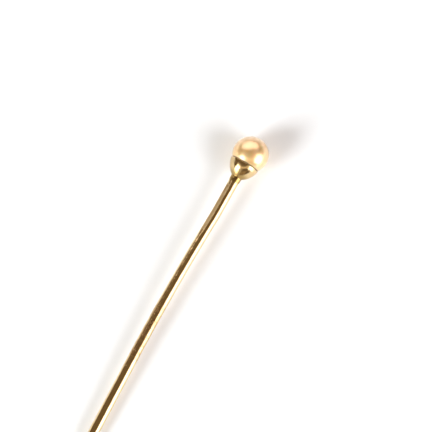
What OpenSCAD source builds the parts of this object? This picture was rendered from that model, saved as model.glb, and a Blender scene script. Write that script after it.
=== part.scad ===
// Pearl stick pin: one drilled pearl on the peg of a polished gold cup, soldered to a slightly bowed gold stem.
// Millimetres. The pin lies on a table, z = 0, with its point at -X and its pearl at +X.
// It rests on two places: the slightly flat foot of the pearl, and the stem where the taper to the point begins.
// The flat keeps it from rolling over until its bow hangs down.

/* [Pearl] */
// Diameter of the pearl
pearl_d = 4.7; // [4.64:0.01:4.76]
// Height missing from the pearl's foot, where this off-round pearl is a little flat
foot_flat = 0.12; // [0.1:0.01:0.2]
// Diameter of its drilled hole, which stops inside the pearl
drill_d = 0.9; // [0.85:0.05:1.4]
// Depth of the drilled hole
drill_depth = 2.8; // [1.5:0.1:3.4]

/* [Cup] */
// Outside diameter of the cup across its lip
cup_d = 3.92; // [3.88:0.01:3.96]
// Height of the cup from the collar to its lip
cup_h = 1.95; // [1.93:0.01:2]
// Radius of the cup's rounded side, seen from beside the pin
cup_side_r = 2.9; // [2.85:0.01:3]
// How far above the lip the side would be at its widest
cup_side_rise = 0.45; // [0.4:0.01:0.5]
// Distance from the plane of the lip to the centre of the pearl
lip_to_centre = 1.48; // [1.46:0.01:1.56]
// Gap between the pearl and its seat in the cup
seat_gap = 0.03; // [0.01:0.01:0.04]

/* [Peg and collar] */
// Diameter of the peg that the pearl is glued on
peg_d = 0.8; // [0.5:0.05:0.8]
// Gap between the end of the peg and the bottom of the hole
peg_end_gap = 0.05; // [0.03:0.01:0.2]
// Diameter of the collar under the cup
collar_d = 1.45; // [1.4:0.01:1.48]
// Length of the collar, up to where the arc of the cup's side would meet it
collar_l = 0.66; // [0.5:0.01:0.8]
// Radius of the fillet between the collar and the cup
foot_fillet_r = 0.15; // [0.05:0.05:0.2]

/* [Stem] */
// Diameter of the stem
stem_d = 1.35; // [1.1:0.05:1.35]
// Diameter of the blunt end of the point
tip_d = 0.16; // [0.1:0.02:0.3]
// Length of the taper to the point
point_l = 12; // [8:0.5:14]
// Length of straight round stem behind the taper
straight_l = 16.7; // [12:0.1:20]
// Radius of the long bow to the right
bow_r = 327; // [250:1:600]
// Angle of the long bow
bow_angle = 3.63; // [2:0.01:4]
// Length of straight stem between the two bends
crest_l = 0.5; // [0.3:0.1:2]
// Radius of the short bend back to the left
back_r = 54.3; // [40:0.1:90]
// Angle of the short bend back to the left
back_angle = 2.25; // [1:0.05:2.5]
// Length of straight stem between that bend and the collar
neck_l = 3.54; // [3:0.01:6]
// Angle that the head leans to the right of the stem
head_lean = 2.6; // [0:0.1:3]

/* [Hidden] */
$fn = 96;
// pieces to a whole turn of a bend, so that the long bow is a smooth curve
bend_fn = 2400;
// how far the stem is sunk into the collar, and the peg's root into the cup's floor
sunk = 0.2;
// A straight runs this far into the bend on each side of it, and a bend is this much thinner all round,
// so that the two join as one solid.
lap = 0.05;
bend_thinner = 0.004;

pearl_r = pearl_d / 2;
stem_r = stem_d / 2;
tip_r = tip_d / 2;
collar_r = collar_d / 2;
cup_r = cup_d / 2;
seat_r = pearl_r + seat_gap;

// The cup's side is an arc, whose centre is side_in across the axis and side_up above the collar.
side_in = sqrt(pow(cup_side_r, 2) - pow(cup_side_rise, 2)) - cup_r;
side_up = cup_h + cup_side_rise;
side_z = collar_l + side_up;
lip_z = collar_l + cup_h;
pearl_z = lip_z + lip_to_centre;
hole_end_z = pearl_z - pearl_r + drill_depth;

// The fillet's circle touches the collar and the side.
fillet_x = collar_r + foot_fillet_r;
fillet_reach = cup_side_r + foot_fillet_r;
fillet_z = side_z - sqrt(pow(fillet_reach, 2) - pow(fillet_x + side_in, 2));
// where the fillet runs out on the side
touch_x = (fillet_x + side_in) * cup_side_r / fillet_reach - side_in;
touch_z = side_z - (side_z - fillet_z) * cup_side_r / fillet_reach;

// A place on the pin seen from above is [x, y, heading], before the pin is laid down: the tip is [0, 0, 0],
// and a turn is positive to the left.
function ahead(place, l) = [place[0] + l * cos(place[2]), place[1] + l * sin(place[2]), place[2]];
function turned(place, turn) = [place[0], place[1], place[2] + turn];
function bent(place, r, turn) =
    let (side = sign(turn), from = place[2], to = place[2] + turn)
    [place[0] + side * r * (sin(to) - sin(from)), place[1] + side * r * (cos(from) - cos(to)), to];

tip_at = [0, 0, 0];
shoulder_at = ahead(tip_at, point_l);
bow_at = ahead(shoulder_at, straight_l);
crest_at = bent(bow_at, bow_r, -bow_angle);
back_at = ahead(crest_at, crest_l);
neck_at = bent(back_at, back_r, back_angle);
head_at = turned(ahead(neck_at, neck_l), -head_lean);
pearl_at = ahead(head_at, pearl_z);

// Laid down: the pin is turned until the pearl is straight ahead of the tip, then its head is lifted
// until the pearl and the shoulder of the point both touch the table.
lay_turn = -atan2(pearl_at[1], pearl_at[0]);
pearl_reach = norm([pearl_at[0], pearl_at[1]]);
span = pearl_reach - point_l * cos(lay_turn);
pearl_height = pearl_r - foot_flat;
lift = asin(pearl_height / norm([span, stem_r])) - atan2(stem_r, span);
tip_height = pearl_height - pearl_reach * sin(lift);
middle_x = (pearl_reach * cos(lift) + pearl_r) / 2;

module laid() {
    translate([-middle_x, 0, tip_height])
        rotate([0, -lift, 0])
            rotate([0, 0, lay_turn])
                children();
}

// Stands on a place with its own Z along the pin.
module on_axis(place) {
    translate([place[0], place[1], 0])
        rotate([0, 0, place[2]])
            rotate([0, 90, 0])
                children();
}

module straight(place, l, before, after) {
    on_axis(ahead(place, -before))
        cylinder(h = before + l + after, r = stem_r);
}

module bend(place, r, turn) {
    side = sign(turn);
    translate([place[0], place[1], 0])
        rotate([0, 0, place[2]])
            translate([0, side * r, 0])
                rotate([0, 0, side > 0 ? -90 : 90 + turn])
                    rotate_extrude(angle = abs(turn), $fn = bend_fn)
                        translate([r, 0])
                            circle(r = stem_r - bend_thinner, $fn = 96);
}

module point() {
    on_axis(ahead(tip_at, tip_r)) {
        sphere(r = tip_r);
        cylinder(h = point_l - tip_r, r1 = tip_r, r2 = stem_r);
    }
}

module stem() {
    point();
    straight(shoulder_at, straight_l, 0, lap);
    bend(bow_at, bow_r, -bow_angle);
    straight(crest_at, crest_l, lap, lap);
    bend(back_at, back_r, back_angle);
    straight(neck_at, neck_l, lap, sunk);
}

// Half of the section through the collar and the cup, with the seat hollowed out for the pearl.
module cup_section() {
    difference() {
        union() {
            square([collar_r, fillet_z]);
            difference() {
                polygon([[0, fillet_z], [fillet_x, fillet_z], [touch_x, touch_z], [0, touch_z]]);
                translate([fillet_x, fillet_z])
                    circle(r = foot_fillet_r);
            }
            intersection() {
                translate([-side_in, side_z])
                    circle(r = cup_side_r);
                translate([0, touch_z])
                    square([cup_r + sunk, lip_z - touch_z]);
            }
        }
        translate([0, pearl_z])
            circle(r = seat_r);
    }
}

module peg() {
    root_z = pearl_z - seat_r - sunk;
    translate([0, 0, root_z])
        cylinder(h = hole_end_z - peg_end_gap - root_z, r = peg_d / 2);
}

module gold_pin() {
    color([0.80, 0.62, 0.33])
        laid() {
            stem();
            on_axis(head_at) {
                rotate_extrude()
                    cup_section();
                peg();
            }
        }
}

module pearl() {
    color([0.96, 0.82, 0.65])
        difference() {
            laid()
                on_axis(pearl_at)
                    difference() {
                        sphere(r = pearl_r);
                        translate([0, 0, -pearl_r - sunk])
                            cylinder(h = drill_depth + sunk, r = drill_d / 2);
                    }
            translate([0, -pearl_r, -pearl_r])
                cube([2 * middle_x, pearl_d, pearl_r]);
        }
}

gold_pin();
pearl();
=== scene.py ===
import logging
import math
from dataclasses import dataclass
from enum import Enum
from typing import ClassVar, Optional, Union

import bmesh
import bpy
from mathutils import Matrix, Quaternion, Vector, noise


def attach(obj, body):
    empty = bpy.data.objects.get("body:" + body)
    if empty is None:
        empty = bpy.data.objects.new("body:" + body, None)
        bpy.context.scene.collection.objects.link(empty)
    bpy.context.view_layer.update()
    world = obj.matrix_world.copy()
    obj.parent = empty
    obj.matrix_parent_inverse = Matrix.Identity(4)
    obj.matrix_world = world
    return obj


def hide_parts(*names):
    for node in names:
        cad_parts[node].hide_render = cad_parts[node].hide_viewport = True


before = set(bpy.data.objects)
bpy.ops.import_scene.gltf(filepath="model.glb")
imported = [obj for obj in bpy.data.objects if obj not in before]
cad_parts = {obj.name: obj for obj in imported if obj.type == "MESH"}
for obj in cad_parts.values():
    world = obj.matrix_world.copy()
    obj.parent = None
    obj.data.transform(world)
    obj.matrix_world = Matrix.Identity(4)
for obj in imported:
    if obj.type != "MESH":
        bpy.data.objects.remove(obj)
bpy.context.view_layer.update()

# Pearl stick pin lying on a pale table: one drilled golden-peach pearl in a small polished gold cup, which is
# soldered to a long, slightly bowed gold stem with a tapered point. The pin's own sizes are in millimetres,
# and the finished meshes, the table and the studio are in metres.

MM = 0.001
PHOTO_SIDE = 432
# A colour Mix node has several sockets of each name, so its sockets go by number.
MIX_SHARE, MIX_FIRST, MIX_SECOND, MIX_RESULT = 0, 6, 7, 2
Colour = tuple[float, float, float]
Outline = list[tuple[float, float]]
Setting = Union[float, Colour, bpy.types.NodeSocket]
Inputs = dict[Union[str, int], Setting]
log = logging.getLogger("stick_pin")


class Slot(Enum):
    """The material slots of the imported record."""

    GOLD = "gold"
    PEARL = "pearl"


class Mark(Enum):
    """The masks that a mesh carries for its material."""

    # Dark solder at the collar, and painted shade laid thinly over the whole cup.
    SOLDER_AND_SHADE = "solder_and_shade"
    RUBBED = "rubbed"
    STAINED = "stained"
    # Painted shade: a dark band on the pearl along the lip, standing in for the shade in the gap under it.
    LIP_SHADE = "lip_shade"


class Shape(Enum):
    """The outline of a softbox, by the light's own name for it."""

    RECTANGLE = "RECTANGLE"
    OVAL = "ELLIPSE"


def ease(low: float, high: float, value: float) -> float:
    """Eases from 0 to 1 between two values.

    Args:
        low: Where it is still 0.
        high: Where it has become 1.
        value: The value to judge.

    Returns:
        A number from 0 to 1.
    """
    share = min(1.0, max(0.0, (value - low) / (high - low)))
    return share * share * (3.0 - 2.0 * share)


def turn_about(axis: str, degrees: float) -> Matrix:
    """Returns the turn by an angle in degrees about the X, Y or Z axis."""
    return Matrix.Rotation(math.radians(degrees), 4, axis)


@dataclass(frozen=True)
class Place:
    """A place on the pin seen from above, before it is laid down: where it is and which way the pin heads."""

    x: float
    y: float
    heading: float

    def ahead(self, length: float) -> "Place":
        """Returns the place that lies a length further on, straight ahead."""
        way = math.radians(self.heading)
        return Place(self.x + length * math.cos(way), self.y + length * math.sin(way), self.heading)

    def turned(self, turn: float) -> "Place":
        """Returns the same place with the heading turned, to the left if positive."""
        return Place(self.x, self.y, self.heading + turn)

    def bent(self, radius: float, turn: float) -> "Place":
        """Follows a bend that starts here.

        Args:
            radius: The bend's radius.
            turn: How far it turns in degrees, to the left if positive.

        Returns:
            The place at its end.
        """
        side = math.copysign(radius, turn)
        first, last = math.radians(self.heading), math.radians(self.heading + turn)
        x = self.x + side * (math.sin(last) - math.sin(first))
        y = self.y + side * (math.cos(first) - math.cos(last))
        return Place(x, y, self.heading + turn)

    def frame(self) -> Matrix:
        """Returns the matrix that stands a ring's own Z along the pin, with its own X down and its Y left."""
        here = Matrix.Translation((self.x, self.y, 0.0))
        return here @ turn_about("Z", self.heading) @ turn_about("Y", 90.0)


@dataclass(frozen=True)
class PinSizes:
    """The sizes of the built part that several pieces share."""

    pearl_r: float = 2.35
    foot_flat: float = 0.12
    drill_r: float = 0.45
    drill_depth: float = 2.8
    stem_r: float = 0.675
    tip_r: float = 0.08
    collar_r: float = 0.725
    collar_l: float = 0.66
    cup_r: float = 1.96
    cup_h: float = 1.95
    side_r: float = 2.9
    side_rise: float = 0.45
    fillet_r: float = 0.15
    lip_to_centre: float = 1.48
    seat_gap: float = 0.03
    peg_r: float = 0.4
    peg_end_gap: float = 0.05

    @property
    def lip_z(self) -> float:
        """The height of the lip over the collar's foot."""
        return self.collar_l + self.cup_h

    @property
    def pearl_z(self) -> float:
        """The height of the pearl's centre over the collar's foot."""
        return self.lip_z + self.lip_to_centre

    @property
    def seat_r(self) -> float:
        """The radius of the hollow that the pearl sits in."""
        return self.pearl_r + self.seat_gap

    @property
    def peg_end(self) -> float:
        """The height of the end of the peg over the collar's foot."""
        return self.pearl_z - self.pearl_r + self.drill_depth - self.peg_end_gap

    @property
    def side_in(self) -> float:
        """How far across the axis the centre of the side's arc lies."""
        return math.sqrt(self.side_r ** 2 - self.side_rise ** 2) - self.cup_r

    @property
    def side_z(self) -> float:
        """The height of the centre of the side's arc over the collar's foot."""
        return self.lip_z + self.side_rise

    @property
    def fillet_x(self) -> float:
        """The distance of the centre of the fillet's arc from the axis."""
        return self.collar_r + self.fillet_r

    @property
    def fillet_z(self) -> float:
        """The height of the centre of the fillet's arc over the collar's foot."""
        across = self.fillet_x + self.side_in
        return self.side_z - math.sqrt((self.side_r + self.fillet_r) ** 2 - across ** 2)

    @property
    def fillet_turn(self) -> float:
        """The angle in radians that the fillet turns before it runs out on the side."""
        return math.atan2(self.side_z - self.fillet_z, self.fillet_x + self.side_in)


@dataclass(frozen=True)
class Course:
    """The line that the pin follows and how it lies on the table."""

    sizes: PinSizes = PinSizes()
    point_l: float = 12.0
    straight_l: float = 16.7
    bow_r: float = 327.0
    bow_angle: float = 3.63
    crest_l: float = 0.5
    back_r: float = 54.3
    back_angle: float = 2.25
    neck_l: float = 3.54
    head_lean: float = 2.6

    @property
    def tip(self) -> Place:
        """The end of the point."""
        return Place(0.0, 0.0, 0.0)

    @property
    def bow(self) -> Place:
        """The place where the long bow to the right begins."""
        return self.tip.ahead(self.point_l + self.straight_l)

    @property
    def back(self) -> Place:
        """The place where the short bend back to the left begins."""
        return self.bow.bent(self.bow_r, -self.bow_angle).ahead(self.crest_l)

    @property
    def head(self) -> Place:
        """The foot of the collar, heading the way that the head leans."""
        return self.back.bent(self.back_r, self.back_angle).ahead(self.neck_l).turned(-self.head_lean)

    @property
    def pearl(self) -> Place:
        """The centre of the pearl."""
        return self.head.ahead(self.sizes.pearl_z)

    def laid(self) -> Matrix:
        """Lays the pin down on the pearl's foot and the shoulder of the point.

        Returns:
            The matrix from the plan of the pin to the table, in millimetres.
        """
        pearl, stem_r = self.pearl, self.sizes.stem_r
        lay_turn = -math.atan2(pearl.y, pearl.x)
        reach = math.hypot(pearl.x, pearl.y)
        span = reach - self.point_l * math.cos(lay_turn)
        height = self.sizes.pearl_r - self.sizes.foot_flat
        lift = math.asin(height / math.hypot(span, stem_r)) - math.atan2(stem_r, span)
        middle = (reach * math.cos(lift) + self.sizes.pearl_r) / 2
        place = Matrix.Translation((-middle, 0.0, height - reach * math.sin(lift)))
        return place @ Matrix.Rotation(-lift, 4, "Y") @ Matrix.Rotation(lay_turn, 4, "Z")

    def on_table(self, place: Place) -> Vector:
        """Returns where a place of the plan lies over the table, in metres."""
        return (self.laid() @ Vector((place.x, place.y, 0.0))) * MM


@dataclass
class Ring:
    """One ring of a skin: its vertices, where it is and how wide it is."""

    verts: list[bmesh.types.BMVert]
    place: Place
    radius: float


class Skin:
    """The closed skin that a ring leaves behind as it is drawn along the pin."""

    def __init__(self, start: Place, radius: float, segments: int) -> None:
        """Starts the skin with a closed end.

        Args:
            start: Where the first ring is.
            radius: Its radius.
            segments: How many edges it has.
        """
        self.bm = bmesh.new()
        for mark in (Mark.SOLDER_AND_SHADE, Mark.RUBBED, Mark.STAINED):
            self.bm.verts.layers.float.new(mark.value)
        bmesh.ops.create_circle(self.bm, cap_ends=True, cap_tris=True, segments=segments, radius=radius,
                                matrix=start.frame())
        self.open_edges = [edge for edge in self.bm.edges if edge.is_boundary]
        self.rings: list[Ring] = []
        self.place = start
        self.radius = radius

    def layer(self, mark: Mark) -> bmesh.types.BMLayerItem:
        """Returns the layer that holds a mask."""
        return self.bm.verts.layers.float[mark.value]

    def draw_to(self, place: Place, radius: float) -> None:
        """Draws the ring on.

        Args:
            place: Where it goes.
            radius: The radius that it has there.
        """
        grown = Matrix.Diagonal((radius / self.radius, radius / self.radius, 1.0, 1.0))
        made = bmesh.ops.extrude_edge_only(self.bm, edges=self.open_edges)["geom"]
        verts = [item for item in made if isinstance(item, bmesh.types.BMVert)]
        edges = [item for item in made if isinstance(item, bmesh.types.BMEdge)]
        step = place.frame() @ grown @ self.place.frame().inverted()
        bmesh.ops.transform(self.bm, matrix=step, verts=verts)
        self.open_edges = [edge for edge in edges if edge.is_boundary]
        self.rings.append(Ring(verts, place, radius))
        self.place, self.radius = place, radius

    def draw_straight(self, length: float, last_r: float, step: float) -> None:
        """Draws a straight stretch in even steps.

        Args:
            length: How long it is.
            last_r: The radius at its end.
            step: About how long a step is.
        """
        start, first_r = self.place, self.radius
        count = max(1, round(length / step))
        for k in range(1, count + 1):
            self.draw_to(start.ahead(length * k / count), first_r + (last_r - first_r) * k / count)

    def draw_bend(self, radius: float, turn: float, step: float) -> None:
        """Draws a bend in even steps.

        Args:
            radius: The bend's radius.
            turn: How far it turns in degrees, to the left if positive.
            step: About how long a step is.
        """
        start = self.place
        count = max(1, round(radius * math.radians(abs(turn)) / step))
        for k in range(1, count + 1):
            self.draw_to(start.bent(radius, turn * k / count), self.radius)

    def close(self) -> None:
        """Closes the open end with a fan of triangles."""
        made = bmesh.ops.edgeloop_fill(self.bm, edges=self.open_edges)
        bmesh.ops.poke(self.bm, faces=made["faces"], center_mode="MEAN")


def finish_piece(bm: bmesh.types.BMesh, name: str, place: Matrix, node: str) -> bpy.types.Object:
    """Args:
        bm: The mesh, which is freed.
        name: The piece's name.
        place: The matrix that puts the mesh on the table, in millimetres.
        node: The built part's node that the piece stands for.

    Returns:
        The object, at the origin, with its place in its mesh.
    """
    bmesh.ops.transform(bm, matrix=Matrix.Diagonal((MM, MM, MM, 1.0)) @ place, verts=bm.verts)
    bmesh.ops.recalc_face_normals(bm, faces=bm.faces)
    for face in bm.faces:
        face.smooth = True
    mesh = bpy.data.meshes.new(name)
    bm.to_mesh(mesh)
    bm.free()
    piece = bpy.data.objects.new(name, mesh)
    bpy.context.scene.collection.objects.link(piece)
    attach(piece, "root")
    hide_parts(node)
    return piece


@dataclass(frozen=True)
class RubbedFlat:
    """The long shallow flat that wear has left on the upper left of the wire, just below the head."""

    first: float = 0.3
    last: float = 8.4
    fade_in: float = 0.6
    fade_out: float = 1.6
    depth: float = 0.055
    angle: float = 38.0
    full_within: float = 18.0
    gone_beyond: float = 36.0

    def share_at(self, behind: float) -> float:
        """Returns how far the flat has developed at a distance behind the collar, from 0 to 1."""
        rise = ease(self.first, self.first + self.fade_in, behind)
        return rise * ease(self.last, self.last - self.fade_out, behind)

    def press(self, ring: Ring, behind: float, mark: bmesh.types.BMLayerItem) -> None:
        """Presses a ring of the wire down to the flat and marks what it rubs.

        Args:
            ring: The ring.
            behind: How far it lies behind the collar.
            mark: The layer that holds the mark.
        """
        way = Vector((-math.cos(math.radians(self.angle)), math.sin(math.radians(self.angle)), 0.0))
        share = self.share_at(behind)
        place = ring.place.frame()
        back = place.inverted()
        for vert in ring.verts:
            local = back @ vert.co
            around = math.degrees(local.angle(way))
            vert[mark] = share * ease(self.gone_beyond, self.full_within, around)
            proud = local.dot(way) - (ring.radius - self.depth * share)
            if proud > 0.0:
                vert.co = place @ (local - way * proud)


@dataclass
class GoldPin:
    """The soldered gold of the pin: point, stem, collar, cup and peg in one skin."""

    course: Course
    flat: RubbedFlat = RubbedFlat()
    segments: int = 96
    step: float = 0.35
    collar_foot: float = 0.24
    lip_round: float = 0.045
    peg_edge: float = 0.06
    solder_first: float = -0.35
    solder_last: float = 2.0
    solder_rise: float = 0.35
    solder_fall: float = 1.2
    # Painted shade: the share of the joint's dark colour kept over the whole cup, for the shaded table that
    # it reflects.
    cup_shade: float = 0.45
    stained_first: float = 15.5
    stained_last: float = 29.0
    stained_fade: float = 4.5
    stained_least: float = 0.12

    @property
    def sizes(self) -> PinSizes:
        """The sizes that the pieces share."""
        return self.course.sizes

    def build(self) -> bpy.types.Object:
        """Draws the skin from the tip of the point to the end of the peg.

        Returns:
            The finished piece.
        """
        skin = self.draw_point()
        self.draw_stem(skin)
        wire = list(skin.rings)
        for height, radius in self.head_outline():
            skin.draw_to(self.course.head.ahead(height), radius)
        skin.close()
        self.rub(skin, wire)
        self.mark_solder_and_shade(skin)
        self.mark_stains(skin)
        return finish_piece(skin.bm, "gold_pin_polished", self.course.laid(), "gold_pin")

    def draw_point(self, tip_steps: int = 6) -> Skin:
        """Draws the small round tip and the taper behind it.

        Args:
            tip_steps: How many steps the round of the tip has.

        Returns:
            The skin so far.
        """
        tip, tip_r = self.course.tip, self.sizes.tip_r
        angles = [math.radians(90.0 * k / tip_steps) for k in range(1, tip_steps + 1)]
        heights = [tip_r * (1.0 - math.cos(angle)) for angle in angles]
        radii = [tip_r * math.sin(angle) for angle in angles]
        skin = Skin(tip.ahead(heights[0]), radii[0], self.segments)
        for height, radius in zip(heights[1:], radii[1:]):
            skin.draw_to(tip.ahead(height), radius)
        skin.draw_straight(self.course.point_l - tip_r, self.sizes.stem_r, self.step)
        return skin

    def draw_stem(self, skin: Skin) -> None:
        """Draws the round wire from the shoulder of the point to the collar.

        Args:
            skin: The skin to draw on.
        """
        course, radius = self.course, self.sizes.stem_r
        skin.draw_straight(course.straight_l, radius, self.step)
        skin.draw_bend(course.bow_r, -course.bow_angle, self.step)
        skin.draw_straight(course.crest_l, radius, self.step)
        skin.draw_bend(course.back_r, course.back_angle, self.step)
        skin.draw_straight(course.neck_l, radius, self.step)

    def head_outline(self) -> Outline:
        """Returns heights over the collar's foot, each with its radius, from the collar to the peg's end."""
        return self.collar_line() + self.side_line() + self.lip_line() + self.seat_line() + self.peg_line()

    def collar_line(self, swell_steps: int = 8, fillet_steps: int = 8) -> Outline:
        """Swells from the wire to the collar and follows the fillet on to the cup's side.

        Args:
            swell_steps: How many steps the swelling has.
            fillet_steps: How many steps the fillet has.

        Returns:
            Heights over the collar's foot, each with its radius.
        """
        s, foot, r = self.sizes, self.collar_foot, self.sizes.fillet_r
        proud = s.collar_r - s.stem_r
        shares = [k / swell_steps for k in range(1, swell_steps + 1)]
        swell = [(foot * share, s.stem_r + proud * ease(0.0, 1.0, share)) for share in shares]
        angles = [s.fillet_turn * k / fillet_steps for k in range(fillet_steps + 1)]
        fillet = [(s.fillet_z + r * math.sin(a), s.fillet_x - r * math.cos(a)) for a in angles]
        return swell + [((foot + s.fillet_z) / 2, s.collar_r)] + fillet

    def side_line(self, steps: int = 40) -> Outline:
        """Follows the arc of the cup's side up to where the lip is rounded.

        Args:
            steps: How many steps it has.

        Returns:
            Heights over the collar's foot, each with its radius.
        """
        s = self.sizes
        last = math.asin((s.side_rise + self.lip_round) / s.side_r)
        angles = [s.fillet_turn + (last - s.fillet_turn) * k / steps for k in range(1, steps + 1)]
        return [(s.side_z - s.side_r * math.sin(a), s.side_r * math.cos(a) - s.side_in) for a in angles]

    def lip_line(self, steps: int = 12) -> Outline:
        """Rounds the thin lip over from the side to the seat.

        Args:
            steps: How many steps it has.

        Returns:
            Heights over the collar's foot, each with its radius.
        """
        s = self.sizes
        outer = self.side_line()[-1][1]
        inner = math.sqrt(s.seat_r ** 2 - (s.lip_to_centre + self.lip_round) ** 2)
        middle, half = (outer + inner) / 2, (outer - inner) / 2
        angles = [math.pi * k / steps for k in range(1, steps)]
        return [(s.lip_z - self.lip_round * (1.0 - math.sin(a)), middle + half * math.cos(a)) for a in angles]

    def seat_line(self, steps: int = 14) -> Outline:
        """Follows the hollow of the seat down to the peg's root.

        Args:
            steps: How many steps it has.

        Returns:
            Heights over the collar's foot, each with its radius.
        """
        s = self.sizes
        first = math.asin((s.lip_to_centre + self.lip_round) / s.seat_r)
        last = math.acos((s.peg_r + self.peg_edge) / s.seat_r)
        angles = [first + (last - first) * k / steps for k in range(steps + 1)]
        return [(s.pearl_z - s.seat_r * math.sin(a), s.seat_r * math.cos(a)) for a in angles]

    def peg_line(self, steps: int = 4) -> Outline:
        """Follows the peg from its filleted root to its rounded end.

        Args:
            steps: How many steps each of the two quarter rounds has.

        Returns:
            Heights over the collar's foot, each with its radius.
        """
        s, edge = self.sizes, self.peg_edge
        root = self.seat_line()[-1][0]
        angles = [math.pi / 2 * k / steps for k in range(1, steps + 1)]
        foot = [(root + edge * (1.0 - math.cos(a)), s.peg_r + edge * (1.0 - math.sin(a))) for a in angles]
        end = [(s.peg_end - edge + edge * math.sin(a), s.peg_r - edge + edge * math.cos(a)) for a in angles]
        return foot + [(s.peg_end - edge, s.peg_r)] + end

    def rub(self, skin: Skin, wire: list[Ring]) -> None:
        """Presses the rubbed flat into the wire and marks it for the material.

        Args:
            skin: The skin.
            wire: The rings of the wire.
        """
        mark = skin.layer(Mark.RUBBED)
        foot = self.course.head.frame().inverted()
        for ring in wire:
            behind = -(foot @ Vector((ring.place.x, ring.place.y, 0.0))).z
            if behind < self.flat.last:
                self.flat.press(ring, behind, mark)

    def mark_solder_and_shade(self, skin: Skin) -> None:
        """Marks the soldered joint round the collar for the material, and everything above it, the cup
        included, at a lower share as painted shade.

        Args:
            skin: The skin.
        """
        mark = skin.layer(Mark.SOLDER_AND_SHADE)
        foot = self.course.head.frame().inverted()
        for vert in skin.bm.verts:
            height = (foot @ vert.co).z
            rise = ease(self.solder_first, self.solder_first + self.solder_rise, height)
            fall = ease(self.solder_last, self.solder_last - self.solder_fall, height)
            # Above the joint the mask stays at the cup's share: painted shade over the whole cup.
            vert[mark] = rise * max(fall, self.cup_shade)

    def mark_stains(self, skin: Skin) -> None:
        """Marks the length of the wire that has stained most, for the material.

        Args:
            skin: The skin.
        """
        mark = skin.layer(Mark.STAINED)
        foot = self.course.head.frame().inverted()
        for vert in skin.bm.verts:
            behind = -(foot @ vert.co).z
            rise = ease(self.stained_first, self.stained_first + self.stained_fade, behind)
            fall = ease(self.stained_last, self.stained_last - self.stained_fade, behind)
            vert[mark] = max(rise * fall, self.stained_least)

    def dress(self, piece: bpy.types.Object, finish: "PolishedGold") -> None:
        """Gives the piece its finish."""
        piece.data.materials.append(finish.build())


@dataclass
class Pearl:
    """The half-drilled pearl: not quite round, a little flat at its foot, with a dark band of painted shade
    along the lip.
    """

    course: Course
    segments: int = 160
    arcs: int = 120
    weld: float = 0.001
    cut_slack: float = 0.00001
    skin_from: float = 0.99
    uneven: float = 0.012
    waves_per_mm: float = 0.45
    mouth: float = 0.03
    lip_shade_width: float = 0.11
    lip_shade_fade: float = 0.05

    def outline(self) -> Outline:
        """Follows the drilled hole and the round of the pearl.

        Returns:
            Radii about the drilled axis, each with its height over the pearl's centre.
        """
        s, r = self.course.sizes, self.course.sizes.pearl_r
        edge = math.asin((s.drill_r + self.mouth) / r)
        bottom = s.drill_depth - r
        hole = [(0.0, bottom), (s.drill_r, bottom), (s.drill_r, self.mouth - r * math.cos(edge))]
        angles = [edge + (math.pi - edge) * k / self.arcs for k in range(self.arcs)]
        return hole + [(r * math.sin(a), -r * math.cos(a)) for a in angles] + [(0.0, r)]

    def build(self) -> bpy.types.Object:
        """Spins the pearl about its drilled axis, lets it grow unevenly, lays it down and flattens its foot.

        Returns:
            The finished piece.
        """
        bm = bmesh.new()
        lip_shade = bm.verts.layers.float.new(Mark.LIP_SHADE.value)
        place = self.course.pearl.frame()
        points = [place @ Vector((across, 0.0, height)) for across, height in self.outline()]
        verts = [bmesh.ops.create_vert(bm, co=point)["vert"][0] for point in points]
        edges = [bm.edges.new(pair) for pair in zip(verts, verts[1:])]
        bmesh.ops.spin(bm, geom=edges, cent=place.translation, axis=place.col[2].xyz, dvec=(0.0, 0.0, 0.0),
                       angle=math.tau, steps=self.segments, use_merge=True, use_duplicate=False)
        bmesh.ops.remove_doubles(bm, verts=bm.verts, dist=self.weld)
        # A narrow band of the pearl next to the lip is marked for painted shade, the dark line of the gap
        # under the lip.
        lip = -self.course.sizes.lip_to_centre + self.lip_shade_width
        for vert in bm.verts:
            vert[lip_shade] = ease(lip + self.lip_shade_fade, lip, (place.inverted() @ vert.co).z)
        self.grow(bm, place.translation)
        bmesh.ops.transform(bm, matrix=self.course.laid(), verts=bm.verts)
        self.flatten_foot(bm)
        return finish_piece(bm, "pearl_nacre", Matrix.Identity(4), "pearl")

    def grow(self, bm: bmesh.types.BMesh, centre: Vector) -> None:
        """Moves the round of the pearl in and out a little.

        Args:
            bm: The mesh.
            centre: The pearl's centre.
        """
        for vert in bm.verts:
            out = vert.co - centre
            if out.length > self.course.sizes.pearl_r * self.skin_from:
                vert.co += out.normalized() * self.uneven * noise.noise(out * self.waves_per_mm)

    def flatten_foot(self, bm: bmesh.types.BMesh) -> None:
        """Cuts the foot off flat on the table and closes the cut.

        Args:
            bm: The mesh, laid down.
        """
        geometry = bm.verts[:] + bm.edges[:] + bm.faces[:]
        cut = bmesh.ops.bisect_plane(bm, geom=geometry, dist=self.cut_slack, plane_co=(0.0, 0.0, 0.0),
                                     plane_no=(0.0, 0.0, -1.0), clear_outer=True, clear_inner=False)
        rim = [item for item in cut["geom_cut"] if isinstance(item, bmesh.types.BMEdge)]
        bmesh.ops.edgeloop_fill(bm, edges=rim)

    def dress(self, piece: bpy.types.Object, finish: "Nacre") -> None:
        """Gives the piece its finish."""
        piece.data.materials.append(finish.build())


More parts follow.
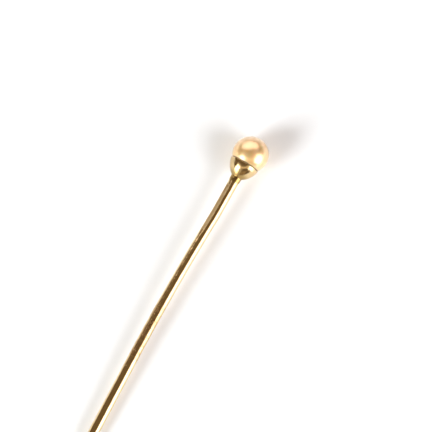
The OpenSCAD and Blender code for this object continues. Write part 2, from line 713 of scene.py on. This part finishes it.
class Bench:
    """Lays out and wires the nodes of one node tree."""

    def __init__(self, tree: bpy.types.NodeTree) -> None:
        """Takes the tree to work in."""
        self.tree = tree

    @classmethod
    def for_material(cls, name: str) -> tuple[bpy.types.Material, "Bench"]:
        """Starts a material.

        Args:
            name: The material's name.

        Returns:
            The material and the bench for its nodes.
        """
        material = bpy.data.materials.new(name)
        material.use_nodes = True
        return material, cls(material.node_tree)

    @property
    def shader(self) -> bpy.types.Node:
        """The material's own surface shader."""
        return self.tree.nodes["Principled BSDF"]

    @property
    def spot(self) -> bpy.types.NodeSocket:
        """The place on the object, in metres."""
        return self.add("ShaderNodeTexCoord", {}).outputs["Object"]

    def add(self, kind: str, inputs: Inputs, **settings: object) -> bpy.types.Node:
        """Adds a node, sets it up and feeds it.

        Args:
            kind: The node's type.
            inputs: The value or the feeding socket of each input, by its name or number.
            **settings: The node's own properties.

        Returns:
            The node.
        """
        node = self.tree.nodes.new(kind)
        for name, value in settings.items():
            setattr(node, name, value)
        self.feed(node, inputs)
        return node

    def feed(self, node: bpy.types.Node, inputs: Inputs) -> None:
        """Sets the inputs of a node or wires the sockets that feed them.

        Args:
            node: The node.
            inputs: The value or the feeding socket of each input, by its name or number.
        """
        for name, value in inputs.items():
            socket = node.inputs[name]
            if isinstance(value, bpy.types.NodeSocket):
                self.tree.links.new(value, socket)
            elif isinstance(value, tuple) and socket.type == "RGBA":
                socket.default_value = (*value, 1.0)
            else:
                socket.default_value = value

    def place(self, group: bpy.types.NodeTree, inputs: Inputs) -> bpy.types.NodeSocket:
        """Returns what a node group puts out with these inputs."""
        return self.add("ShaderNodeGroup", inputs, node_tree=group).outputs[0]

    def mark(self, mark: Mark) -> bpy.types.NodeSocket:
        """Returns one of the masks that the mesh carries."""
        return self.add("ShaderNodeAttribute", {}, attribute_name=mark.value).outputs["Fac"]

    def mix(self, share: Setting, first: Setting, second: Setting) -> bpy.types.NodeSocket:
        """Returns a colour mixed from two."""
        inputs = {MIX_SHARE: share, MIX_FIRST: first, MIX_SECOND: second}
        return self.add("ShaderNodeMix", inputs, data_type="RGBA").outputs[MIX_RESULT]

    def work_out(self, operation: str, *values: Setting) -> bpy.types.NodeSocket:
        """Returns the result of a math node's operation on some values."""
        return self.add("ShaderNodeMath", dict(enumerate(values)), operation=operation).outputs[0]

    def add_times(self, value: Setting, factor: float, start: Setting) -> bpy.types.NodeSocket:
        """Returns a start value plus a factor times another value."""
        return self.work_out("MULTIPLY_ADD", value, factor, start)

    def bump(self, height: Setting, depth: float,
             under: Optional[bpy.types.NodeSocket] = None) -> bpy.types.NodeSocket:
        """Adds a relief, on top of another relief if there is one.

        Args:
            height: The relief, from 0 to 1.
            depth: Its depth in millimetres.
            under: The normals of the relief under it, if there is one.

        Returns:
            The normals.
        """
        node = self.add("ShaderNodeBump", {"Height": height, "Strength": 1.0, "Distance": depth * MM})
        if under is not None:
            self.feed(node, {"Normal": under})
        return node.outputs["Normal"]


@dataclass
class Effects:
    """The shader node groups that several finishes use, each built once."""

    cloud_roughness: float = 0.55
    cloud_low: float = 0.3
    cloud_high: float = 0.7
    grain_detail: float = 1.0
    grain_roughness: float = 0.4
    speck_edge: float = 0.07

    def __post_init__(self) -> None:
        """Builds the groups."""
        self.mottle: bpy.types.NodeTree = self.build_mottle()
        self.specks: bpy.types.NodeTree = self.build_specks()

    @staticmethod
    def start_group(name: str, values: dict[str, float]) -> bpy.types.NodeTree:
        """Starts a group that reads a vector and some values and puts out one value.

        Args:
            name: The group's name.
            values: Its input values, each with its default.

        Returns:
            The group.
        """
        group = bpy.data.node_groups.new(name, "ShaderNodeTree")
        group.interface.new_socket("Vector", in_out="INPUT", socket_type="NodeSocketVector")
        for label, value in values.items():
            given = group.interface.new_socket(label, in_out="INPUT", socket_type="NodeSocketFloat")
            given.default_value = value
        group.interface.new_socket("Value", in_out="OUTPUT", socket_type="NodeSocketFloat")
        return group

    def build_mottle(self) -> bpy.types.NodeTree:
        """Builds soft cloudy patches, from 0 to 1.

        Returns:
            The group.
        """
        group = self.start_group("soft_mottle", {"Scale": 1000.0, "Detail": 3.0})
        bench = Bench(group)
        given = bench.add("NodeGroupInput", {}).outputs
        clouds = bench.add("ShaderNodeTexNoise", {"Vector": given["Vector"], "Scale": given["Scale"],
                                                  "Detail": given["Detail"],
                                                  "Roughness": self.cloud_roughness})
        spread = bench.add("ShaderNodeMapRange", {"Value": clouds.outputs[0], "From Min": self.cloud_low,
                                                  "From Max": self.cloud_high})
        bench.add("NodeGroupOutput", {"Value": spread.outputs["Result"]})
        return group

    def build_specks(self) -> bpy.types.NodeTree:
        """Builds scattered small specks, 1 on a speck and 0 between them.

        Returns:
            The group.
        """
        group = self.start_group("small_specks", {"Scale": 4000.0, "Rarity": 0.66})
        bench = Bench(group)
        given = bench.add("NodeGroupInput", {}).outputs
        grain = bench.add("ShaderNodeTexNoise", {"Vector": given["Vector"], "Scale": given["Scale"],
                                                 "Detail": self.grain_detail,
                                                 "Roughness": self.grain_roughness})
        top = bench.add_times(given["Rarity"], 1.0, self.speck_edge)
        cut = bench.add("ShaderNodeMapRange", {"Value": grain.outputs[0], "From Min": given["Rarity"],
                                               "From Max": top})
        bench.add("NodeGroupOutput", {"Value": cut.outputs["Result"]})
        return group


@dataclass(frozen=True)
class PolishedGold:
    """Hand-polished yellow gold with hairlines, pits and old stains, duller at the soldered joint and on the
    flat, and darkened over the whole cup by painted shade.
    """

    effects: Effects
    light: Colour = (0.84, 0.645, 0.36)
    deep: Colour = (0.78, 0.57, 0.29)
    # The joint's dark colour, also laid thinly over the whole cup as painted shade.
    solder_and_shade: Colour = (0.42, 0.28, 0.10)
    stain: Colour = (0.46, 0.26, 0.11)
    roughness: float = 0.08
    patchy: float = 0.04
    rubbed_more: float = 0.2
    solder_and_shade_more: float = 0.13
    stained_more: float = 0.22
    scorch_and_shade_power: float = 2.0
    patches_per_mm: float = 1.1
    patch_detail: float = 4.0
    stains_per_mm: float = 1.2
    stain_detail: float = 3.0
    hairlines_per_mm: float = 7.0
    hairline_length: float = 2.0
    hairline_detail: float = 2.0
    hairline_roughness: float = 0.6
    specks_per_mm: float = 4.0
    speck_rarity: float = 0.68
    wave_depth: float = 0.012
    hairline_depth: float = 0.0012
    speck_depth: float = 0.004

    def build(self) -> bpy.types.Material:
        """Builds the material.

        Returns:
            The material.
        """
        material, bench = Bench.for_material("polished_gold")
        spot = bench.spot
        patches = bench.place(self.effects.mottle, {"Vector": spot, "Scale": self.patches_per_mm / MM,
                                                    "Detail": self.patch_detail})
        specks = bench.place(self.effects.specks, {"Vector": spot, "Scale": self.specks_per_mm / MM,
                                                   "Rarity": self.speck_rarity})
        solder_and_shade, rubbed = bench.mark(Mark.SOLDER_AND_SHADE), bench.mark(Mark.RUBBED)
        stains = self.stains(bench, spot)
        body = bench.mix(stains, bench.mix(patches, self.light, self.deep), self.stain)
        rough = bench.add_times(patches, self.patchy, self.roughness)
        rough = bench.add_times(stains, self.stained_more, rough)
        rough = bench.add_times(rubbed, self.rubbed_more, rough)
        rough = bench.add_times(solder_and_shade, self.solder_and_shade_more, rough)
        relief = bench.bump(patches, self.wave_depth)
        relief = bench.bump(self.hairlines(bench, spot), self.hairline_depth, relief)
        relief = bench.bump(specks, -self.speck_depth, relief)
        # Squared, the mask darkens the joint fully and the whole cup a little, as painted shade.
        scorched_and_shaded = bench.work_out("POWER", solder_and_shade, self.scorch_and_shade_power)
        bench.feed(bench.shader, {"Base Color": bench.mix(scorched_and_shaded, body, self.solder_and_shade), "Metallic": 1.0,
                                  "Roughness": rough, "Normal": relief})
        return material

    def stains(self, bench: Bench, spot: bpy.types.NodeSocket) -> bpy.types.NodeSocket:
        """Spots the stained length of the pin with small brown stains.

        Args:
            bench: The material's bench.
            spot: The place on the object.

        Returns:
            The mask of the stains, from 0 to 1.
        """
        spots = bench.place(self.effects.mottle, {"Vector": spot, "Scale": self.stains_per_mm / MM,
                                                  "Detail": self.stain_detail})
        return bench.work_out("MULTIPLY", spots, bench.mark(Mark.STAINED))

    def hairlines(self, bench: Bench, spot: bpy.types.NodeSocket) -> bpy.types.NodeSocket:
        """Draws the fine polishing lines along the pin.

        Args:
            bench: The material's bench.
            spot: The place on the object.

        Returns:
            Their relief, from 0 to 1.
        """
        along, across = 1.0 / (self.hairline_length * MM), self.hairlines_per_mm / MM
        stretch = bench.add("ShaderNodeMapping", {"Vector": spot, "Scale": (along, across, across)})
        return bench.add("ShaderNodeTexNoise", {"Vector": stretch.outputs[0], "Scale": 1.0,
                                                "Detail": self.hairline_detail,
                                                "Roughness": self.hairline_roughness}).outputs[0]


@dataclass(frozen=True)
class Nacre:
    """Golden-peach nacre: a deep soft lustre under a clear gloss with a pale bloom, and a dull dark band of
    painted shade along the lip.
    """

    effects: Effects
    body: Colour = (0.81, 0.49, 0.18)
    pale: Colour = (0.87, 0.59, 0.27)
    # Painted shade: the dark colour of the band along the lip.
    lip_shade: Colour = (0.14, 0.09, 0.045)
    lustre: float = 0.62
    roughness: float = 0.29
    patchy: float = 0.04
    lip_shade_more: float = 0.3
    gloss: float = 1.0
    gloss_roughness: float = 0.26
    gloss_ior: float = 2.2
    lip_shade_gloss_less: float = 0.9
    bloom: float = 0.5
    bloom_roughness: float = 0.35
    bloom_colour: Colour = (1.0, 0.97, 0.88)
    glow: float = 0.55
    glow_reach: Colour = (1.0, 0.5, 0.22)
    glow_depth: float = 1.4
    clouds_per_mm: float = 0.45
    cloud_detail: float = 2.0
    specks_per_mm: float = 3.0
    speck_rarity: float = 0.7
    skin_per_mm: float = 6.0
    skin_detail: float = 2.0
    skin_depth: float = 0.0015
    speck_depth: float = 0.003

    def build(self) -> bpy.types.Material:
        """Builds the material.

        Returns:
            The material.
        """
        material, bench = Bench.for_material("nacre")
        spot = bench.spot
        clouds = bench.place(self.effects.mottle, {"Vector": spot, "Scale": self.clouds_per_mm / MM,
                                                   "Detail": self.cloud_detail})
        skin = bench.place(self.effects.mottle, {"Vector": spot, "Scale": self.skin_per_mm / MM,
                                                 "Detail": self.skin_detail})
        specks = bench.place(self.effects.specks, {"Vector": spot, "Scale": self.specks_per_mm / MM,
                                                   "Rarity": self.speck_rarity})
        lip_shade = bench.mark(Mark.LIP_SHADE)
        relief = bench.bump(skin, self.skin_depth)
        relief = bench.bump(specks, -self.speck_depth, relief)
        rough = bench.add_times(clouds, self.patchy, self.roughness)
        # The lip band is painted shade: darker, rougher and less glossy than the nacre round it.
        bench.feed(bench.shader, {
            "Base Color": bench.mix(lip_shade, bench.mix(clouds, self.body, self.pale), self.lip_shade),
            "Metallic": bench.add_times(lip_shade, -self.lustre, self.lustre),
            "Roughness": bench.add_times(lip_shade, self.lip_shade_more, rough),
            "Subsurface Weight": self.glow,
            "Subsurface Radius": self.glow_reach,
            "Subsurface Scale": self.glow_depth * MM,
            "Normal": relief,
            "Coat Weight": bench.add_times(lip_shade, -self.lip_shade_gloss_less, self.gloss),
            "Coat Roughness": self.gloss_roughness,
            "Coat IOR": self.gloss_ior,
            "Sheen Weight": self.bloom,
            "Sheen Roughness": self.bloom_roughness,
            "Sheen Tint": self.bloom_colour,
        })
        return material


@dataclass(frozen=True)
class TableTop:
    """A smooth, nearly white table top."""

    effects: Effects
    light: Colour = (0.90, 0.90, 0.895)
    deep: Colour = (0.885, 0.885, 0.88)
    roughness: float = 0.6
    clouds_per_metre: float = 90.0
    cloud_detail: float = 4.0

    def build(self) -> bpy.types.Material:
        """Builds the material.

        Returns:
            The material.
        """
        material, bench = Bench.for_material("table_top")
        clouds = bench.place(self.effects.mottle, {"Vector": bench.spot, "Scale": self.clouds_per_metre,
                                                   "Detail": self.cloud_detail})
        bench.feed(bench.shader, {"Base Color": bench.mix(clouds, self.light, self.deep),
                                  "Roughness": self.roughness})
        return material


@dataclass(frozen=True)
class Softbox:
    """A flat studio light that faces the pin, rolled about its own axis.

    Its place and its half sizes are angles in degrees as the pearl sees them, and the azimuth goes from +X
    towards +Y. It lights matt surfaces, shows in polished ones, or does both.
    """

    name: str
    azimuth: float
    elevation: float
    half_width: float
    half_height: float
    radiance: float
    colour: Colour
    roll: float = 0.0
    lights_matt: bool = True
    mirrored: bool = True
    shape: Shape = Shape.RECTANGLE
    distance: float = 0.5

    def hang(self, target: Vector) -> None:
        """Hangs the light and turns it to the pin.

        Args:
            target: The point that it faces, in metres.
        """
        light = bpy.data.lights.new(self.name, "AREA")
        light.shape = self.shape.value
        light.size = 2.0 * self.distance * math.tan(math.radians(self.half_width))
        light.size_y = 2.0 * self.distance * math.tan(math.radians(self.half_height))
        light.color = self.colour
        area = light.size * light.size_y * (math.pi / 4 if self.shape is Shape.OVAL else 1.0)
        light.energy = self.radiance * math.pi * area
        holder = bpy.data.objects.new(self.name, light)
        bpy.context.scene.collection.objects.link(holder)
        across, up = math.radians(self.azimuth), math.radians(self.elevation)
        back = Vector((math.cos(across) * math.cos(up), math.sin(across) * math.cos(up), math.sin(up)))
        holder.location = target + back * self.distance
        holder.rotation_mode = "QUATERNION"
        facing = back.to_track_quat("Z", "Y")
        holder.rotation_quaternion = facing @ Quaternion((0.0, 0.0, 1.0), math.radians(self.roll))
        holder.visible_camera = False
        holder.visible_diffuse = self.lights_matt
        holder.visible_glossy = self.mirrored


@dataclass(frozen=True)
class Studio:
    """The table, the lights, the dim room and the camera.

    The picture's way up lies at up_way on the table, in degrees from +X towards +Y, and pearl_across and
    pearl_down are the pixel that the pearl's centre falls on.
    """

    up_way: float = 28.79
    elevation: float = 81.0
    mm_per_pixel: float = 0.1277
    lens: float = 200.0
    sensor: float = 36.0
    clip_near: float = 0.01
    clip_far: float = 10.0
    face_distance: ClassVar[float] = 0.49
    core_distance: ClassVar[float] = 0.48
    pearl_across: float = 250.1
    pearl_down: float = 154.0
    table_half: float = 1.5
    room: Colour = (0.18, 0.126, 0.075)
    backdrop: Colour = (0.86, 0.85, 0.83)
    # Name, azimuth, elevation, half width, half height, radiance and colour. A face or a core is what the
    # polished surfaces show of a softbox, and it hangs a little in front of it.
    softboxes: tuple[Softbox, ...] = (
        Softbox("softbox_right", -95.0, 22.0, 23.0, 22.0, 6.8, (0.90, 0.93, 1.0), roll=16.0,
                mirrored=False),
        Softbox("softbox_right_face", -95.0, 22.0, 23.0, 22.0, 2.6, (0.96, 0.97, 1.0), roll=16.0,
                lights_matt=False, distance=face_distance),
        Softbox("softbox_right_core", -106.0, 20.0, 11.0, 14.0, 2.4, (0.92, 0.96, 1.0), roll=16.0,
                lights_matt=False, distance=core_distance),
        Softbox("softbox_right_edge", -92.0, 27.0, 26.0, 26.0, 1.2, (0.96, 0.97, 1.0), roll=16.0),
        Softbox("softbox_left", 149.0, 18.0, 14.5, 22.0, 17.2, (0.885, 0.945, 1.0), roll=16.0,
                mirrored=False),
        Softbox("softbox_left_face", 149.0, 18.0, 14.5, 22.0, 4.5, (0.96, 0.98, 1.0), roll=16.0,
                lights_matt=False, distance=face_distance),
        Softbox("softbox_left_edge", 157.0, 25.0, 23.0, 26.0, 0.5, (1.0, 0.95, 0.85), roll=20.0),
        Softbox("far_screen", 30.0, 36.0, 46.0, 29.0, 1.95, (1.0, 0.935, 0.92), lights_matt=False,
                shape=Shape.OVAL),
        Softbox("brown_screen", -160.0, 14.0, 16.0, 13.0, 0.18, (1.0, 0.72, 0.4)),
        Softbox("tan_card", -153.0, 49.0, 22.0, 6.0, 0.75, (1.0, 0.86, 0.66), lights_matt=False),
    )

    def build(self, course: Course, top: TableTop) -> None:
        """Sets up the whole studio round the pin.

        Args:
            course: The line that the pin follows.
            top: The finish of the table top.
        """
        pearl = course.on_table(course.pearl)
        self.aim_camera(pearl)
        self.set_table(top)
        self.dim_room()
        for softbox in self.softboxes:
            softbox.hang(pearl)
        bpy.context.scene.view_settings.view_transform = "Standard"

    def aim_camera(self, pearl: Vector) -> None:
        """Aims the camera so that the pearl falls on its place in the picture.

        Args:
            pearl: The pearl's centre, in metres.
        """
        data = bpy.data.cameras.new("camera")
        data.lens = self.lens
        data.sensor_width = self.sensor
        data.clip_start, data.clip_end = self.clip_near, self.clip_far
        camera = bpy.data.objects.new("camera", data)
        bpy.context.scene.collection.objects.link(camera)
        way, lift = math.radians(self.up_way), math.radians(self.elevation)
        ahead = Vector((math.cos(way), math.sin(way), 0.0))
        overhead = Vector((0.0, 0.0, 1.0))
        back = overhead * math.sin(lift) - ahead * math.cos(lift)
        up = overhead * math.cos(lift) + ahead * math.sin(lift)
        right = up.cross(back)
        pixel = self.mm_per_pixel * MM
        middle = (PHOTO_SIDE - 1) / 2
        aim = pearl - right * (self.pearl_across - middle) * pixel - up * (middle - self.pearl_down) * pixel
        distance = self.lens / self.sensor * PHOTO_SIDE * pixel
        turn = Matrix((right, up, back)).transposed()
        camera.matrix_world = Matrix.Translation(aim + back * distance) @ turn.to_4x4()
        bpy.context.scene.camera = camera

    def set_table(self, top: TableTop) -> None:
        """Makes the table top.

        Args:
            top: Its finish.
        """
        bm = bmesh.new()
        bmesh.ops.create_grid(bm, x_segments=1, y_segments=1, size=self.table_half)
        mesh = bpy.data.meshes.new("table")
        bm.to_mesh(mesh)
        bm.free()
        table = bpy.data.objects.new("table", mesh)
        bpy.context.scene.collection.objects.link(table)
        mesh.materials.append(top.build())

    def dim_room(self) -> None:
        """Fills the room with dim warm light, with a pale backdrop where the camera looks past the table."""
        world = bpy.data.worlds.new("room")
        bpy.context.scene.world = world
        world.use_nodes = True
        bench = Bench(world.node_tree)
        seen = bench.add("ShaderNodeLightPath", {}).outputs["Is Camera Ray"]
        bench.feed(world.node_tree.nodes["Background"], {"Color": bench.mix(seen, self.room, self.backdrop)})


def main() -> None:
    """Builds the pin and its studio and reports each piece."""
    logging.basicConfig(level=logging.INFO, format="%(name)s: %(message)s")
    effects = Effects()
    course = Course()
    gold, pearl = GoldPin(course), Pearl(course)
    gold_piece, pearl_piece = gold.build(), pearl.build()
    gold.dress(gold_piece, PolishedGold(effects))
    pearl.dress(pearl_piece, Nacre(effects))
    Studio().build(course, TableTop(effects))
    for piece in (gold_piece, pearl_piece):
        log.info("%s: %d faces", piece.name, len(piece.data.polygons))


if __name__ == "__main__":
    main()
